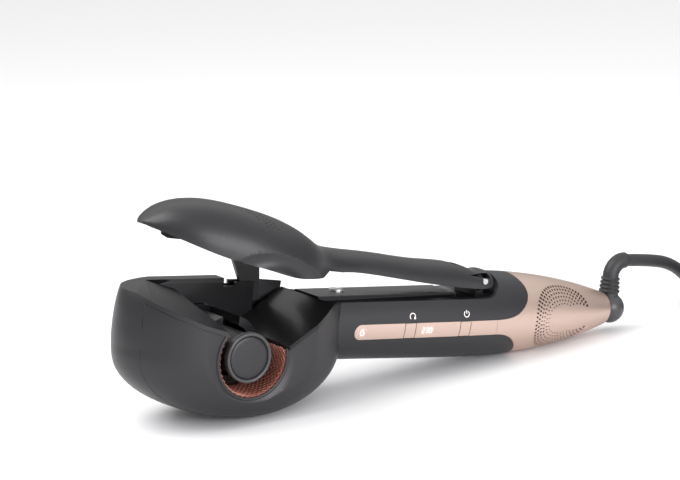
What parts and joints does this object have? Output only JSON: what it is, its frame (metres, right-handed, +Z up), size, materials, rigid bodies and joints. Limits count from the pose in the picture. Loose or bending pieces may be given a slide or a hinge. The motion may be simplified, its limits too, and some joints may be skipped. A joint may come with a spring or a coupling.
{
  "type": "automatic hair curler",
  "caption": "Corded hair curler with an egg-shaped curl chamber, a sprung clamp lid over a hair slot, push buttons on a slim handle and a vented rear cone.",
  "frame": {"origin": "on the table, at the centre of the flat resting patch under the curling head", "axes": "+Z up, +X towards the cord end, -Y towards the open side of the chamber and the buttons"},
  "size_m": [0.4568, 0.1047, 0.1043],
  "materials": {
    "dark_shell": "fine satin",
    "gloss_black": "polished",
    "rose_gold": "satin metallic paint",
    "copper_mesh": "woven look, satin",
    "dark_grey": "satin",
    "grey_ring": "satin",
    "aluminium": "satin",
    "steel": "brushed",
    "gear_plastic": "natural",
    "board_green": "solder mask",
    "lens": "back-lit",
    "ceramic_white": "matt",
    "cord_rubber": "matt",
    "brass": "nickelled"
  },
  "bodies": {
    "housing": {"near_side_cover": "dark_shell", "centre_band": "dark_shell", "far_side_cover": "dark_shell", "front_hair_ramp": "dark_shell", "rear_hair_slope": "gloss_black", "chamber_liner": "copper_mesh", "curl_barrel": "dark_grey", "barrel_cap_ring": "grey_ring", "barrel_cap_disc": "dark_grey", "barrel_heater": "ceramic_white", "heater_wedge": "aluminium", "drive_motor": "steel", "gear_plate": "gloss_black", "direction_switch": "dark_grey", "power_switch": "dark_grey", "mode_lens": "lens", "display_lens": "lens", "strip_front": "rose_gold", "strip_middle": "rose_gold", "strip_rear": "rose_gold", "control_board": "board_green", "near_handle_shell": "dark_shell", "far_handle_shell": "dark_shell", "deck_tray": "gloss_black", "hinge_pin": "steel", "lid_spring": "steel", "contact_switch": "dark_grey", "rear_cone": "rose_gold", "vent_sleeve": "gloss_black", "swivel_socket": "dark_grey", "power_board": "board_green", "board_post": "dark_shell"},
    "rotor": {"rotor_sleeve": "gloss_black", "rotor_gear": "gear_plastic"},
    "pinion": {"drive_pinion": "steel"},
    "direction_button": {"direction_button": "rose_gold"},
    "power_button": {"power_button": "rose_gold"},
    "lid_contact": {"lid_contact": "aluminium"},
    "lid": {"lid_shell": "dark_shell", "lid_liner": "gloss_black", "hair_guide": "dark_shell"},
    "cord_swivel": {"swivel_knuckle": "grey_ring", "strain_relief": "cord_rubber", "cord_lead": "cord_rubber", "cord_tail": "cord_rubber", "cord_coil": "cord_rubber", "cord_tie": "cord_rubber", "plug_body": "cord_rubber", "plug_pins": "brass"}
  },
  "joints": [
    {"name": "lid_hinge", "type": "hinge", "parent": "housing", "child": "lid", "pos_m": [0.13346, 0, 0.04288], "axis": [0, -1, 0], "range_deg": [0, 8.8], "stiffness_Nm_per_rad": 0.6, "springref_deg": -20.05},
    {"name": "direction_press", "type": "slide", "parent": "housing", "child": "direction_button", "axis": [0, 1, 0], "range_m": [0, 0.0005], "stiffness_N_per_m": 800, "springref_m": -0.0003},
    {"name": "power_press", "type": "slide", "parent": "housing", "child": "power_button", "axis": [0, 1, 0], "range_m": [0, 0.0005], "stiffness_N_per_m": 800, "springref_m": -0.0003},
    {"name": "contact_press", "type": "slide", "parent": "housing", "child": "lid_contact", "axis": [-0.1288, 0, -0.9917], "range_m": [0, 0.0012], "stiffness_N_per_m": 400, "springref_m": -0.0005},
    {"name": "rotor_turn", "type": "hinge", "parent": "housing", "child": "rotor", "pos_m": [-0.0142, 0, 0.0318], "axis": [0, 1, 0], "continuous": true},
    {"name": "pinion_turn", "type": "hinge", "parent": "housing", "child": "pinion", "pos_m": [0.00932, 0, 0.01855], "axis": [0, 1, 0], "continuous": true},
    {"name": "cord_turn", "type": "hinge", "parent": "housing", "child": "cord_swivel", "pos_m": [0.22031, 0, 0.01284], "axis": [0.9917, 0, -0.1288], "continuous": true}
  ],
  "couplings": [
    {"joint": "pinion_turn", "follows": "rotor_turn", "ratio": -2.8571}
  ]
}
